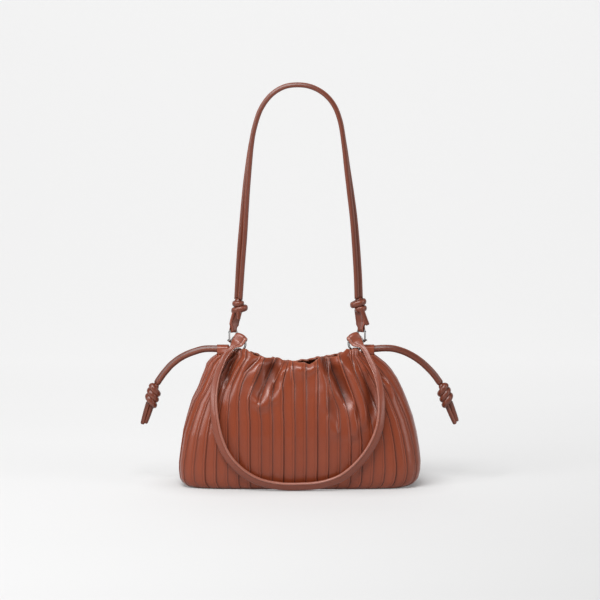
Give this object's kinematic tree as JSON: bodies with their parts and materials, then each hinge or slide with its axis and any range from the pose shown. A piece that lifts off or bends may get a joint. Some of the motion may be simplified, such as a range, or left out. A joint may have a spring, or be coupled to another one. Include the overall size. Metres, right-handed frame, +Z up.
{
  "type": "purse",
  "caption": "Pleated leather drawstring purse with a flat hanging handle, a shoulder strap of two rolled cords, and silver rings and clips.",
  "frame": {"origin": "inside top of the shoulder strap, where the purse hangs", "axes": "+Z up, the front of the purse faces -Y, +X to the right as seen from the front"},
  "size_m": [0.4011, 0.1091, 0.5021],
  "materials": {
    "leather": "smooth, half gloss",
    "rolled_leather": "smooth, half gloss",
    "silver": "polished"
  },
  "bodies": {
    "purse": {"bag_body": "leather", "base_panel": "leather", "handle": "leather", "channel_end_left": "leather", "channel_end_right": "leather", "ring_loop_left": "leather", "ring_loop_right": "leather", "strap_tab_left": "leather", "strap_tab_right": "leather", "strap_cord_front": "rolled_leather", "strap_cord_back": "rolled_leather", "drawcord_left": "rolled_leather", "drawcord_right": "rolled_leather", "drawcord_knot_left": "rolled_leather", "drawcord_knot_right": "rolled_leather", "drawcord_tail_left": "rolled_leather", "drawcord_tail_right": "rolled_leather", "strap_knot_left": "rolled_leather", "strap_knot_right": "rolled_leather", "strap_tail_left": "rolled_leather", "strap_tail_right": "rolled_leather", "ring_left": "silver", "ring_right": "silver", "clip_frame_left": "silver", "clip_frame_right": "silver"},
    "clip_lever_left": {"clip_gate_left": "silver"},
    "clip_lever_right": {"clip_gate_right": "silver"}
  },
  "joints": [
    {"name": "clip_lever_left", "type": "hinge", "parent": "purse", "child": "clip_lever_left", "pos_m": [-0.08811, -0.0077, -0.31353], "axis": [-0.6018, 0.7986, 0], "range_deg": [0, 22], "stiffness_Nm_per_rad": 0.02},
    {"name": "clip_lever_right", "type": "hinge", "parent": "purse", "child": "clip_lever_right", "pos_m": [0.08114, -0.00742, -0.31308], "axis": [-0.6018, -0.7986, 0], "range_deg": [0, 22], "stiffness_Nm_per_rad": 0.02}
  ]
}
